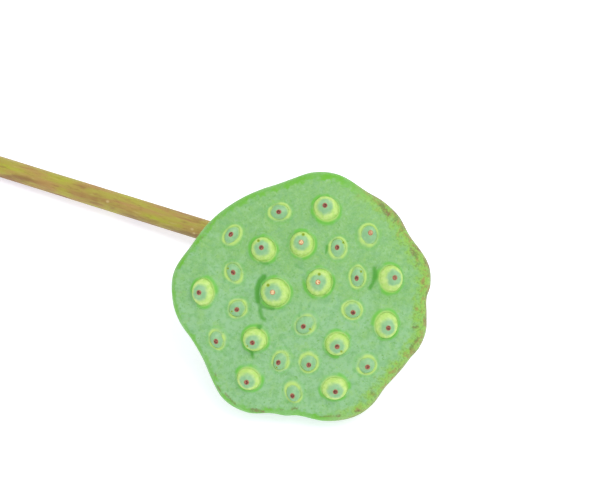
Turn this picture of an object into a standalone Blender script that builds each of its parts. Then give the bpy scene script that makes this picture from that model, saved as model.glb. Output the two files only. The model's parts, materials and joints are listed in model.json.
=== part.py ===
"""A fresh lotus seed pod on its cut stem, lying on a level surface.

The receptacle, its 26 seeds and the stem are built in the pod's own frame, in millimetres: +Z points
straight out of the seed face, and the stem runs off along -X. One empty then lays the whole thing down.
"""

import math

import bmesh
import bpy
from mathutils import Matrix, Vector
from mathutils.geometry import delaunay_2d_cdt, interpolate_bezier

MM = 0.001
GAP = 0.35  # clearance round each seed, and between neck and stem

# Face and rim
OUTLINE = [  # bearing in degrees, widest radius
    (0, 53.3), (7, 52.2), (15, 51.5), (21, 53.3), (30, 53.9), (45, 51.1), (56, 51.9), (66, 51.6),
    (75, 50.9), (90, 52.5), (101, 51.5), (111, 48.8), (120, 47.4), (138, 47.7), (156, 49.0), (172, 50.5),
    (186, 54.1), (198, 53.7), (207, 52.1), (218, 49.1), (228, 48.6), (237, 50.4), (249, 53.7), (261, 53.3),
    (271, 50.3), (278, 50.0), (285, 49.6), (297, 52.7), (309, 54.4), (318, 53.7), (329, 51.0), (346, 51.5),
    (352, 52.9),
]
MEAN_RADIUS = 51.0
DOME_HEIGHT = 3.0
SHOULDER_DEPTH = 5.5
SHOULDER_WIDTH = 3.6
SHOULDER_SWING = 1.3
SHOULDER_WIDE_BEARING = 25.0

# Underside: distance along the bowl's axis below the rim, radius there
BOWL_PROFILE = [
    (0, 51.0), (5.5, 49.8), (11, 45.8), (16, 39.5), (21, 31.0), (26, 22.0), (31, 14.4), (36, 9.2), (41, 6.2),
]
NECK_BEND = 38.0
NECK_BEND_FROM = 19.0
AXIS_DRIFT_X = 0.12
AXIS_DRIFT_Y = 0.22
DRIFT_FULL_AT = 12.0
AXIS_WALK = 0.5

# Seeds: x, y, half length, half width, bearing of the long axis, rise above the face
SEEDS = [
    (-0.5, 37.0, 5.5, 5.2, 155, 3.6), (-18.5, 30.5, 4.0, 3.3, 20, 1.8), (19.0, 31.5, 4.2, 3.6, 100, 2.0),
    (-34.5, 16.0, 4.1, 2.9, 70, 1.8), (-6.0, 20.5, 5.3, 5.1, 105, 4.2), (8.5, 23.0, 4.0, 3.1, 100, 1.6),
    (-20.5, 14.0, 5.3, 5.1, 150, 4.2), (-29.5, 1.5, 4.0, 3.0, 132, 1.8), (32.5, 17.0, 5.7, 5.1, 110, 3.6),
    (19.5, 14.0, 4.2, 2.8, 103, 1.6), (5.0, 7.5, 5.8, 5.4, 83, 4.6), (-11.0, -1.5, 6.1, 5.9, 175, 5.0),
    (-39.0, -9.5, 5.8, 4.8, 108, 3.6), (-24.0, -12.0, 3.6, 3.3, 50, 1.8), (21.0, 0.5, 3.8, 3.4, 0, 1.8),
    (4.5, -10.5, 4.3, 3.5, 60, 1.8), (36.0, -1.5, 5.6, 5.0, 100, 3.6), (-28.5, -26.5, 3.8, 2.9, 123, 1.8),
    (-13.5, -22.0, 5.2, 4.9, 12, 4.2), (19.0, -14.5, 5.1, 4.9, 27, 4.2), (-1.0, -27.5, 4.0, 3.0, 85, 1.8),
    (10.0, -25.0, 3.8, 3.4, 100, 1.8), (33.0, -19.5, 3.7, 3.5, 30, 1.8), (-11.5, -38.0, 5.2, 4.8, 165, 3.6),
    (23.0, -32.0, 5.6, 5.0, 22, 3.6), (7.5, -38.5, 4.0, 3.0, 124, 1.8),
]
PROUD_RISE = 3.0
SPLAY_AT_RIM = 0.75
SPLAY_POWER = 0.7
SPLAY_CENTRE = Vector((2.5, 3.0))
SEED_CAP = [(0.90, 0.43), (0.65, 0.76), (0.30, 0.95)]  # share of the rise, share of the seed's width
SEED_BODY = [(0.0, 1.0), (-4.0, 1.04), (-8.5, 0.84), (-11.5, 0.48)]  # depth, share of the width
SEED_FOOT = -13.0
POCKET_FOOT = -13.4
LIP_REACH = 0.75
LIP_FOOT = 1.5
LOW_SEED_LIP = (0.6, 0.3)  # height of the lip's crest and of its inner edge
PROUD_SEED_LIP = (0.1, -0.4)

# Stem
STEM_RADIUS = 4.85
CUT_END_RADIUS = 4.6
STEM_LINE_Y = 14.2
STEM_STRAIGHT_X = -30.0
STEM_DROP = 7.0
STEM_BEND_PULL = 0.38
STEM_FALL = 11.5  # degrees below the level of the seed face
STEM_SWING = 1.0  # degrees sideways from the pod's own X axis
CUT_END_X = -174.0
CUT_SLANT = 8.0
CANAL_DEPTH = 4.0
CANAL_RINGS = [(1, 0.0, 0.75), (6, 2.3, 0.7)]  # count, distance from the stem's centre, radius

# How the pod lies: on the bowl's flank, the outside of the stem's bend and the stem's far end
LEAN_SIDE = 34.45
LEAN_AWAY = 7.41

# Mesh density
RIM_SEGMENTS = 56
SEED_SEGMENTS = 12
STEM_SEGMENTS = 16
CANAL_SEGMENTS = 8
FILL_SPACING = 6.0
JOIN_TOLERANCE = 0.00001
SHOULDER_RINGS = 3
BOWL_RINGS = 11
BEND_STATIONS = 9
STRAIGHT_STATIONS = 8


def clear_scene():
    for old in list(bpy.data.objects):
        bpy.data.objects.remove(old, do_unlink=True)


def smooth_step(value):
    value = max(0.0, min(1.0, value))
    return value * value * (3.0 - 2.0 * value)


def cubic_between(low, high, before, after, share):
    """Cubic through two values, with end slopes taken from their neighbours."""
    slope_low = (high - before) / 2.0
    slope_high = (after - low) / 2.0
    curve = 2.0 * (low - high) + slope_low + slope_high
    bend = 3.0 * (high - low) - 2.0 * slope_low - slope_high
    return ((curve * share + bend) * share + slope_low) * share + low


def outline_radius(bearing):
    """Widest radius of the lobed rim at a bearing in degrees."""
    bearing = (bearing - OUTLINE[0][0]) % 360.0 + OUTLINE[0][0]
    count = len(OUTLINE)
    index = max(k for k in range(count) if OUTLINE[k][0] <= bearing)
    start = OUTLINE[index][0]
    end = OUTLINE[(index + 1) % count][0] + (360.0 if index + 1 == count else 0.0)
    radii = [OUTLINE[(index + step) % count][1] for step in (-1, 0, 1, 2)]
    return cubic_between(radii[1], radii[2], radii[0], radii[3], (bearing - start) / (end - start))


def profile_radius(distance):
    """Radius of the bowl at a distance along its axis."""
    last = len(BOWL_PROFILE) - 1
    index = min(last - 1, max(k for k in range(last + 1) if BOWL_PROFILE[k][0] <= distance))
    start, low = BOWL_PROFILE[index]
    end, high = BOWL_PROFILE[index + 1]
    before = BOWL_PROFILE[max(0, index - 1)][1]
    after = BOWL_PROFILE[min(last, index + 2)][1]
    return cubic_between(low, high, before, after, (distance - start) / (end - start))


def shoulder_width(bearing):
    swing = math.cos(math.radians(bearing - SHOULDER_WIDE_BEARING))
    return SHOULDER_WIDTH + SHOULDER_SWING * swing


def face_edge(bearing):
    """Radius where the flat face turns into the rolled rim."""
    return outline_radius(bearing) - shoulder_width(bearing)


def face_height(x, y):
    """Height of the domed face at a point."""
    bearing = math.degrees(math.atan2(y, x))
    share = min(1.0, math.hypot(x, y) / face_edge(bearing))
    return DOME_HEIGHT * (1.0 - share * share)


def splay(seed):
    """Sideways travel of a seed's axis for each millimetre of height, as a plan vector."""
    offset = Vector((seed[0], seed[1])) - SPLAY_CENTRE
    return offset.normalized() * SPLAY_AT_RIM * (offset.length / MEAN_RADIUS) ** SPLAY_POWER


def seed_ring(seed, height, share, grow=0.0):
    """One level ring of a seed, or of its pocket where grow is the clearance."""
    x, y, half_length, half_width, bearing, _ = seed
    centre = Vector((x, y)) + splay(seed) * height
    turn = math.radians(bearing)
    level = face_height(x, y) + height
    ring = []
    for step in range(SEED_SEGMENTS):
        angle = 2.0 * math.pi * step / SEED_SEGMENTS
        along = (half_length * share + grow) * math.cos(angle)
        across = (half_width * share + grow) * math.sin(angle)
        ring.append(Vector((
            centre.x + along * math.cos(turn) - across * math.sin(turn),
            centre.y + along * math.sin(turn) + across * math.cos(turn),
            level,
        )))
    return ring


def seed_pole(seed, height):
    centre = Vector((seed[0], seed[1])) + splay(seed) * height
    return Vector((centre.x, centre.y, face_height(seed[0], seed[1]) + height))


class Builder:
    """Collects the points and faces of one closed solid, in millimetres."""

    def __init__(self):
        self.points = []
        self.faces = []

    def add(self, points):
        start = len(self.points)
        self.points.extend(points)
        return list(range(start, len(self.points)))

    def band(self, upper, lower, inward=False):
        count = len(upper)
        for k in range(count):
            n = (k + 1) % count
            quad = (upper[k], lower[k], lower[n], upper[n])
            self.faces.append(quad[::-1] if inward else quad)

    def fan(self, ring, pole, above, inward=False):
        """Close a ring to a pole above or below it."""
        flip = above == inward
        for k in range(len(ring)):
            n = (k + 1) % len(ring)
            triangle = (ring[k], ring[n], pole)
            self.faces.append(triangle[::-1] if flip else triangle)

    def make(self, name, material, sharp_angle=40.0):
        mesh = bpy.data.meshes.new(name)
        mesh.from_pydata([p * MM for p in self.points], [], self.faces)
        mesh.validate()
        mesh.shade_smooth()
        mesh.set_sharp_from_angle(angle=math.radians(sharp_angle))
        mesh.materials.append(material)
        piece = bpy.data.objects.new(name, mesh)
        bpy.context.collection.objects.link(piece)
        return piece


def make_material(name, colour, roughness):
    material = bpy.data.materials.new(name)
    material.use_nodes = True
    shader = material.node_tree.nodes["Principled BSDF"]
    shader.inputs["Base Color"].default_value = (*colour, 1.0)
    shader.inputs["Roughness"].default_value = roughness
    shader.inputs["Metallic"].default_value = 0.0
    return material


def rim_ring(shoulder_share):
    """A ring of the rolled rim: share 0 is the face's edge, share 1 the widest place."""
    ring = []
    for step in range(RIM_SEGMENTS):
        bearing = 360.0 * step / RIM_SEGMENTS
        turn = shoulder_share * math.pi / 2.0
        radius = face_edge(bearing) + shoulder_width(bearing) * math.sin(turn)
        height = -SHOULDER_DEPTH * (1.0 - math.cos(turn))
        angle = math.radians(bearing)
        ring.append(Vector((radius * math.cos(angle), radius * math.sin(angle), height)))
    return ring


def neck_angle(distance):
    length = BOWL_PROFILE[-1][0]
    share = (distance - NECK_BEND_FROM) / (length - NECK_BEND_FROM)
    return math.radians(NECK_BEND) * smooth_step(share)


def bowl_axis(distance):
    """Point on the bowl's curved axis, found by walking down it."""
    steps = max(1, round(distance / AXIS_WALK))
    step = distance / steps
    point = Vector((0.0, 0.0, -SHOULDER_DEPTH))
    for k in range(steps):
        middle = (k + 0.5) * step
        angle = neck_angle(middle)
        drift = Vector((AXIS_DRIFT_X, AXIS_DRIFT_Y, 0.0)) * smooth_step(middle / DRIFT_FULL_AT)
        point += (Vector((-math.sin(angle), 0.0, -math.cos(angle))) + drift) * step
    return point


def bowl_ring(distance):
    length = BOWL_PROFILE[-1][0]
    fade = 1.0 - distance / length
    centre = bowl_axis(distance)
    angle = neck_angle(distance)
    side = Vector((math.cos(angle), 0.0, -math.sin(angle)))
    ring = []
    for step in range(RIM_SEGMENTS):
        bearing = 360.0 * step / RIM_SEGMENTS
        lobe = outline_radius(bearing) / MEAN_RADIUS - 1.0
        radius = profile_radius(distance) * (1.0 + lobe * fade)
        turn = math.radians(bearing)
        ring.append(centre + side * radius * math.cos(turn) + Vector((0.0, radius * math.sin(turn), 0.0)))
    return ring


def opening_rings(seed):
    """Foot, crest and inner edge of the lip round a seed."""
    crest, edge = PROUD_SEED_LIP if seed[5] > PROUD_RISE else LOW_SEED_LIP
    rings = []
    for grow, raised in ((LIP_FOOT, 0.0), (LIP_REACH, crest), (GAP, edge)):
        ring = seed_ring(seed, 0.0, 1.0, grow)
        for point in ring:
            point.z = face_height(point.x, point.y) + raised
        rings.append(ring)
    return rings


def fill_points(rings):
    """Evenly spread points on the open parts of the face, clear of every ring."""
    row_height = FILL_SPACING * math.sqrt(3.0) / 2.0
    rows = int(2.0 * MEAN_RADIUS / row_height) + 2
    taken = [Vector((p.x, p.y)) for ring in rings for p in ring]
    found = []
    for row in range(rows):
        y = (row - rows // 2) * row_height
        for column in range(-rows, rows):
            x = (column + 0.5 * (row % 2)) * FILL_SPACING
            edge = face_edge(math.degrees(math.atan2(y, x)))
            inside_seed = any(math.hypot(x - s[0], y - s[1]) < s[2] + LIP_FOOT for s in SEEDS)
            if math.hypot(x, y) > edge - FILL_SPACING / 2.0 or inside_seed:
                continue
            if min((Vector((x, y)) - point).length for point in taken) > FILL_SPACING / 2.0:
                found.append(Vector((x, y, face_height(x, y))))
    return found


def inside_loop(point, loop):
    """Whether a plan point lies inside a closed plan loop."""
    inside = False
    for k in range(len(loop)):
        a = loop[k]
        b = loop[k - 1]
        crosses = (a.y > point.y) != (b.y > point.y)
        if crosses and point.x < (b.x - a.x) * (point.y - a.y) / (b.y - a.y) + a.x:
            inside = not inside
    return inside


def add_face_skin(build, rim, openings):
    """Triangulate the face between the rim and the openings' inner edges."""
    loops = [rim] + [ring for rings in openings for ring in rings]
    known = [index for loop in loops for index in loop]
    rings = [[build.points[index] for index in loop] for loop in loops]
    known += build.add(fill_points(rings))
    order = {index: k for k, index in enumerate(known)}
    edges = [(order[loop[k - 1]], order[loop[k]]) for loop in loops for k in range(len(loop))]
    plan = [build.points[index].xy for index in known]
    _, _, triangles, origins, _, _ = delaunay_2d_cdt(plan, edges, [], 0, JOIN_TOLERANCE)
    mouths = [[build.points[index] for index in rings[-1]] for rings in openings]
    for triangle in triangles:
        corners = [known[origins[k][0]] for k in triangle]
        middle = sum((build.points[c] for c in corners), Vector()) / 3.0
        if not inside_loop(middle, rings[0]) or any(inside_loop(middle, mouth) for mouth in mouths):
            continue
        build.faces.append(tuple(corners))


def add_pocket(build, mouth, seed):
    """The blind pocket under one opening, a clearance wider than its seed."""
    upper = mouth
    for height, share in SEED_BODY[1:]:
        lower = build.add(seed_ring(seed, height, share, GAP))
        build.band(upper, lower, inward=True)
        upper = lower
    foot = build.add([seed_pole(seed, POCKET_FOOT)])[0]
    build.fan(upper, foot, above=False, inward=True)


def make_receptacle(material):
    build = Builder()
    rim = build.add(rim_ring(0.0))
    openings = [[build.add(ring) for ring in opening_rings(seed)] for seed in SEEDS]
    add_face_skin(build, rim, openings)
    for rings, seed in zip(openings, SEEDS):
        add_pocket(build, rings[-1], seed)
    upper = rim
    for step in range(1, SHOULDER_RINGS + 1):
        lower = build.add(rim_ring(step / SHOULDER_RINGS))
        build.band(upper, lower)
        upper = lower
    length = BOWL_PROFILE[-1][0]
    for step in range(1, BOWL_RINGS + 1):
        lower = build.add(bowl_ring(length * step / BOWL_RINGS))
        build.band(upper, lower)
        upper = lower
    end = build.add([bowl_axis(length)])[0]
    build.fan(upper, end, above=False)
    return build.make("receptacle", material)


def make_seed(number, seed, material):
    build = Builder()
    rise = seed[5]
    levels = [(share * rise, width) for share, width in SEED_CAP] + SEED_BODY
    rings = [build.add(seed_ring(seed, height, share)) for height, share in levels]
    tip = build.add([seed_pole(seed, rise)])[0]
    foot = build.add([seed_pole(seed, SEED_FOOT)])[0]
    build.fan(rings[0], tip, above=True)
    for upper, lower in zip(rings, rings[1:]):
        build.band(upper, lower)
    build.fan(rings[-1], foot, above=False)
    return build.make(f"seed_{number:02d}", material, 60.0)


def stem_route():
    """Centre line of the stem, from the neck round its bend to the cut end."""
    length = BOWL_PROFILE[-1][0]
    angle = neck_angle(length)
    heading = Vector((-math.sin(angle), 0.0, -math.cos(angle)))
    start = bowl_axis(length) + heading * GAP
    bend_end = Vector((STEM_STRAIGHT_X, STEM_LINE_Y, start.z - STEM_DROP))
    fall = math.radians(STEM_FALL)
    swing = math.radians(STEM_SWING)
    run = Vector((-math.cos(fall) * math.cos(swing), math.cos(fall) * math.sin(swing), -math.sin(fall)))
    pull = (bend_end - start).length * STEM_BEND_PULL
    route = interpolate_bezier(start, start + heading * pull, bend_end - run * pull, bend_end, BEND_STATIONS)
    straight = (STEM_STRAIGHT_X - CUT_END_X) / -run.x
    for step in range(1, STRAIGHT_STATIONS + 1):
        route.append(bend_end + run * straight * step / STRAIGHT_STATIONS)
    return route, heading, run


def stem_radius(share):
    return STEM_RADIUS + (CUT_END_RADIUS - STEM_RADIUS) * share


def make_canals(route, run, material):
    """Cutter for the air canals in the cut face."""
    mesh = bpy.data.meshes.new("canal_cutters")
    shape = bmesh.new()
    facing = run.to_track_quat("Z", "Y").to_matrix().to_4x4()
    for count, distance, radius in CANAL_RINGS:
        for step in range(count):
            turn = 2.0 * math.pi * step / count
            place = Vector((distance * math.cos(turn), distance * math.sin(turn), 0.0))
            matrix = Matrix.Translation(route[-1] * MM) @ facing @ Matrix.Translation(place * MM)
            bmesh.ops.create_cone(
                shape, cap_ends=True, segments=CANAL_SEGMENTS, radius1=radius * MM, radius2=radius * MM,
                depth=2.0 * CANAL_DEPTH * MM, matrix=matrix)
    shape.to_mesh(mesh)
    shape.free()
    mesh.materials.append(material)
    cutter = bpy.data.objects.new("canal_cutters", mesh)
    bpy.context.collection.objects.link(cutter)
    cutter.hide_render = True
    cutter.display_type = "WIRE"
    return cutter


def stem_ring(centre, along, radius, slant):
    """A ring square to the stem, or cut at a slant."""
    side = Vector((0.0, 1.0, 0.0)).cross(along).normalized()
    across = along.cross(side).normalized()
    ring = []
    for step in range(STEM_SEGMENTS):
        turn = 2.0 * math.pi * step / STEM_SEGMENTS
        lift = radius * math.cos(turn)
        ring.append(centre - side * lift + across * radius * math.sin(turn) + along * lift * slant)
    return ring


def make_stem(material):
    build = Builder()
    route, heading, run = stem_route()
    last = len(route) - 1
    upper = None
    for index, centre in enumerate(route):
        along = heading if index == 0 else (route[min(index + 1, last)] - route[index - 1]).normalized()
        slant = math.tan(math.radians(CUT_SLANT)) if index == last else 0.0
        lower = build.add(stem_ring(centre, along, stem_radius(index / last), slant))
        if upper is None:
            start = build.add([centre])[0]
            build.fan(lower, start, above=True)
        else:
            build.band(upper, lower)
        upper = lower
    build.faces.append(tuple(upper[::-1]))
    stem = build.make("stem", material)
    cutter = make_canals(route, run, material)
    cut = stem.modifiers.new("canals", "BOOLEAN")
    cut.operation = "DIFFERENCE"
    cut.solver = "EXACT"
    cut.object = cutter
    return [stem, cutter]


def lay_down(pieces):
    """Tip the pod over to how it rests, and stand it on the origin."""
    pose = bpy.data.objects.new("pod_pose", None)
    bpy.context.collection.objects.link(pose)
    for piece in pieces:
        piece.parent = pose
    turn = Matrix.Rotation(math.radians(LEAN_AWAY), 4, "Y") @ Matrix.Rotation(math.radians(LEAN_SIDE), 4, "X")
    run = turn.to_3x3() @ stem_route()[2]
    turn = Matrix.Rotation(math.pi - math.atan2(run.y, run.x), 4, "Z") @ turn
    spots = [turn @ v.co for piece in pieces if not piece.hide_render for v in piece.data.vertices]
    low = Vector([min(spot[axis] for spot in spots) for axis in range(3)])
    high = Vector([max(spot[axis] for spot in spots) for axis in range(3)])
    middle = (low + high) / 2.0
    pose.matrix_world = Matrix.Translation((-middle.x, -middle.y, -low.z)) @ turn


def main():
    clear_scene()
    green = make_material("receptacle_skin", (0.25, 0.52, 0.18), 0.55)
    seed_skin = make_material("seed_skin", (0.50, 0.74, 0.22), 0.40)
    stalk = make_material("stem_skin", (0.45, 0.38, 0.10), 0.60)
    pieces = [make_receptacle(green)]
    for number, seed in enumerate(SEEDS, start=1):
        pieces.append(make_seed(number, seed, seed_skin))
    pieces += make_stem(stalk)
    lay_down(pieces)


main()
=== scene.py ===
"""Looks for the fresh lotus seed pod: fine skin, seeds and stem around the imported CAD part.

Shapes are worked out in the pod's own frame, in millimetres: +Z straight out of the seed face, and the
stem running off along -X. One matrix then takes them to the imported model's frame, in metres.
"""

import json
import math

import bpy
import numpy as np
from mathutils import Matrix, Vector, kdtree, noise
from mathutils.geometry import delaunay_2d_cdt, interpolate_bezier

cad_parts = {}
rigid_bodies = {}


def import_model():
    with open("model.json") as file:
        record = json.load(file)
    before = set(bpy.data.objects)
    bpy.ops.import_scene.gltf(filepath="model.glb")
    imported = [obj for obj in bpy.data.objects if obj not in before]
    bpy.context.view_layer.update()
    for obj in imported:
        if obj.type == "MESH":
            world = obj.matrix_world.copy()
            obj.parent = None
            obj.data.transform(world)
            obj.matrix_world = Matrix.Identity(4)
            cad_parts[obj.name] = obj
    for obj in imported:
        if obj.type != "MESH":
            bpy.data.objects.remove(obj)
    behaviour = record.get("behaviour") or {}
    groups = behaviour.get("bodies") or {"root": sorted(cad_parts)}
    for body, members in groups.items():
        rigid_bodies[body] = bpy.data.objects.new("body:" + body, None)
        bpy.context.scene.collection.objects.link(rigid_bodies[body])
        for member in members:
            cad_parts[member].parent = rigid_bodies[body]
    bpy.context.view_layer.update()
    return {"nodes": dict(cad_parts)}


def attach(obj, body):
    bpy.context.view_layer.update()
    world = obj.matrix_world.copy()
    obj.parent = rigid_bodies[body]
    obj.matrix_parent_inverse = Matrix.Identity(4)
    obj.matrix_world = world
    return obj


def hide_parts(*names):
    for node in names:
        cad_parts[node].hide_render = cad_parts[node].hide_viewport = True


for old in list(bpy.data.objects):
    bpy.data.objects.remove(old, do_unlink=True)
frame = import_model()

MM = 0.001

# The CAD part's own driving sizes, repeated here because its source can't be read
OUTLINE = [
    (0, 53.3), (7, 52.2), (15, 51.5), (21, 53.3), (30, 53.9), (45, 51.1), (56, 51.9), (66, 51.6),
    (75, 50.9), (90, 52.5), (101, 51.5), (111, 48.8), (120, 47.4), (138, 47.7), (156, 49.0), (172, 50.5),
    (186, 54.1), (198, 53.7), (207, 52.1), (218, 49.1), (228, 48.6), (237, 50.4), (249, 53.7), (261, 53.3),
    (271, 50.3), (278, 50.0), (285, 49.6), (297, 52.7), (309, 54.4), (318, 53.7), (329, 51.0), (346, 51.5),
    (352, 52.9),
]
MEAN_RADIUS = 51.0
DOME_HEIGHT = 3.0
SHOULDER_DEPTH = 5.5
SHOULDER_WIDTH = 3.6
SHOULDER_SWING = 1.3
SHOULDER_WIDE_BEARING = 25.0
BOWL_PROFILE = [
    (0, 51.0), (5.5, 49.8), (11, 45.8), (16, 39.5), (21, 31.0), (26, 22.0), (31, 14.4), (36, 9.2), (41, 6.2),
]
BOWL_LENGTH = BOWL_PROFILE[-1][0]
NECK_BEND = 38.0
NECK_BEND_FROM = 19.0
AXIS_DRIFT = (0.12, 0.22)
DRIFT_FULL_AT = 12.0
AXIS_WALK = 0.5
STEM_RADIUS = 4.85
CUT_END_RADIUS = 4.6
STEM_LINE_Y = 14.2
STEM_STRAIGHT_X = -30.0
STEM_DROP = 7.0
STEM_BEND_PULL = 0.38
STEM_FALL = 11.5
STEM_SWING = 1.0
CUT_END_X = -174.0
CUT_SLANT = 8.0
CANAL_DEPTH = 4.0
CANAL_RINGS = [(1, 0.0, 0.75), (6, 2.3, 0.7)]
LEAN_SIDE = 34.45
LEAN_AWAY = 7.41
CAD_GAP = 0.35
CAD_RIM_SEGMENTS = 56
CAD_MOUTH_RING = -5
CAD_LEVEL_SLACK = 0.006

# Fineness of the visual meshes
RIM_SEGMENTS = 320
OPENING_SEGMENTS = 64
STEM_SEGMENTS = 64
CANAL_SEGMENTS = 20
FACE_SPACING = 0.85
SHOULDER_RINGS = 12
BOWL_RINGS = 84
STEM_RING_SPACING = 0.5
BEND_STATIONS = 40

# Seed heads: where each tip stands, seen straight onto the face; which look pale; and each pore beside a
# tip, as its bearing, its distance from the tip and its size
TIPS = [
    (-1.5, 38.4), (-18.9, 30.6), (19.6, 32.9), (-35.2, 16.3), (-6.6, 21.2), (8.1, 23.3), (-21.6, 14.6),
    (-29.9, 1.6), (34.2, 18.0), (19.3, 13.4), (4.5, 7.5), (-12.1, -1.6), (-41.0, -10.2), (-24.2, -12.6),
    (21.8, -0.5), (3.8, -11.6), (37.4, -2.5), (-28.8, -27.6), (-14.3, -23.7), (19.4, -15.6), (-1.9, -28.7),
    (10.4, -26.2), (33.8, -20.3), (-12.1, -40.0), (23.9, -33.6), (7.5, -40.3),
]
TIP_PALENESS = {3: 0.6, 5: 1.0, 9: 0.15, 11: 1.0, 12: 0.95}
PORES = {
    5: (91, 3.3, 0.75), 6: (54, 3.3, 0.6), 7: (130, 3.05, 0.7), 8: (159, 2.7, 0.5), 10: (72, 3.3, 0.6),
    11: (97, 3.3, 0.75), 12: (139, 3.4, 0.8), 14: (216, 2.2, 0.45), 16: (-6, 3.0, 0.55),
    19: (230, 2.4, 0.45), 20: (-33, 2.6, 0.6), 21: (268, 2.1, 0.45),
}
PROUD_RISE = 3.0
DOME_POWER = 2.2
PROUD_ROOT = 0.66
LOW_ROOT = 0.76
KNOB_RADIUS = 0.95
KNOB_HEIGHT = 0.36
KNOB_PIT = 0.2
KNOB_RINGS = np.array([0.12, 0.24, 0.36, 0.48, 0.6, 0.72, 0.84, 0.96, 1.1, 1.3])
DOME_FROM = 1.55
DOME_RINGS = 28
SEED_FOOT = -13.0
POCKET_FOOT = -13.4
OPENING_EDGES = (1.9, 1.5, 1.15, 0.85, 0.6, 0.4, 0.2, 0.02)

# The underside's ribs and scars, the neck's collar, and the stem's skin and cut
RIB_COUNT = 26.0
RIB_HEIGHT = 0.2
SCARS_FROM = 29.5
SCAR_ROWS = 4
SCAR_ROW_STEP = 1.5
SCAR_COUNT = 17.0
SCAR_HEIGHT = 0.75
COLLAR_FROM = 34.0
COLLAR_RADIUS = 4.75
STEM_INSIDE = 2.0
STEM_RIDGES = [(14.0, 0.045, 1.5), (23.0, 0.03, 3.0)]  # count round the stem, height and drift
STEM_WAVER = 0.012
STEM_INSET = 0.08
STEM_LIMIT = 0.1
WART_HEIGHT = 0.16
CUT_SWELL = 0.05
CUT_SPACING = 0.45
HIDDEN_WARTS = 14

# Rings down a pocket and a seed: height and share of the opening
POCKET_RINGS = [(-2.4, 1.03), (-4.0, 1.04), (-6.5, 0.96), (-8.5, 0.84), (-11.5, 0.48)]
SEED_BODY_RINGS = [
    (-0.5, 1.004), (-1.2, 1.015), (-2.4, 1.03), (-4.0, 1.04), (-5.8, 0.99), (-7.4, 0.91), (-8.8, 0.82),
    (-10.2, 0.69), (-11.4, 0.52), (-12.3, 0.33), (-12.8, 0.16),
]
SUNNY_BEARING = 9.0

# Painted runs: where the shoulder and a pocket count as being, how fast bruises fade from one ring of the
# bowl to the next, and how far noises are drawn out
SHOULDER_RUN = 5.0
BRUISE_FADE = 0.7
POCKET_RUN = 8.0
RADIAL_SHRINK = 0.16
STEM_GRAIN_SHRINK = 0.16
SEED_FLOW_RADIUS = 4.0
SEED_FLOW_SHRINK = 1.0
SEED_BODY_RUN = 10.0

# Folds in the face's skin: points in the pod's frame, half width, depth and how dark the painted shade along
# them is
CREASES = [
    ([(-17.4, 3.4), (-18.5, 0.8), (-18.6, -1.8), (-17.9, -4.5), (-16.7, -7.2)], 1.2, 0.4, 1),
    ([(-16.7, -7.2), (-14.4, -8.5), (-11.9, -8.7), (-9.8, -8.2)], 0.8, 0.22, 0.65),
    ([(-15.6, -8.8), (-14.6, -11.3), (-13.5, -13), (-12.2, -13.5)], 1, 0.25, 0.75),
    ([(25.2, 19.4), (26, 16.6), (26.3, 13.6), (25.7, 10.8)], 0.95, 0.4, 0.85),
    ([(9.2, 11.6), (10.9, 9.4), (11.1, 6.4)], 0.75, 0.15, 0.5),
    ([(-6, 11.6), (-4.4, 10.8), (-3, 10.9)], 0.9, 0.15, 0.45),
    ([(-15, -25.8), (-13.4, -27.8), (-12.3, -29.6)], 0.8, 0.25, 0.8),
    ([(4, 22.6), (4.3, 21), (4.2, 19.6)], 0.75, 0.18, 0.75),
    ([(-20.4, 8.6), (-19, 8.3), (-17.2, 8.9)], 0.8, 0.12, 0.6),
]
# The flecks are dark spots painted into the same mask as the painted shade along the creases
FLECKS = [  # x, y, size and how dark
    (-13, -16.6, 1, 0.85), (8.9, 3.4, 0.8, 0.6), (1, -7.7, 0.8, 0.6), (-0.6, -5.4, 0.6, 0.3),
    (0.8, 27.5, 0.8, 0.3), (0.9, 23.5, 0.7, 0.35), (1.3, 21, 0.7, 0.3), (13.4, 9.7, 0.8, 0.5),
    (14.3, 5, 0.9, 0.5), (-23.4, -27.8, 0.9, 0.5), (-15.6, -18.8, 0.7, 0.3), (14.6, 12.8, 0.6, 0.4),
]
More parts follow.
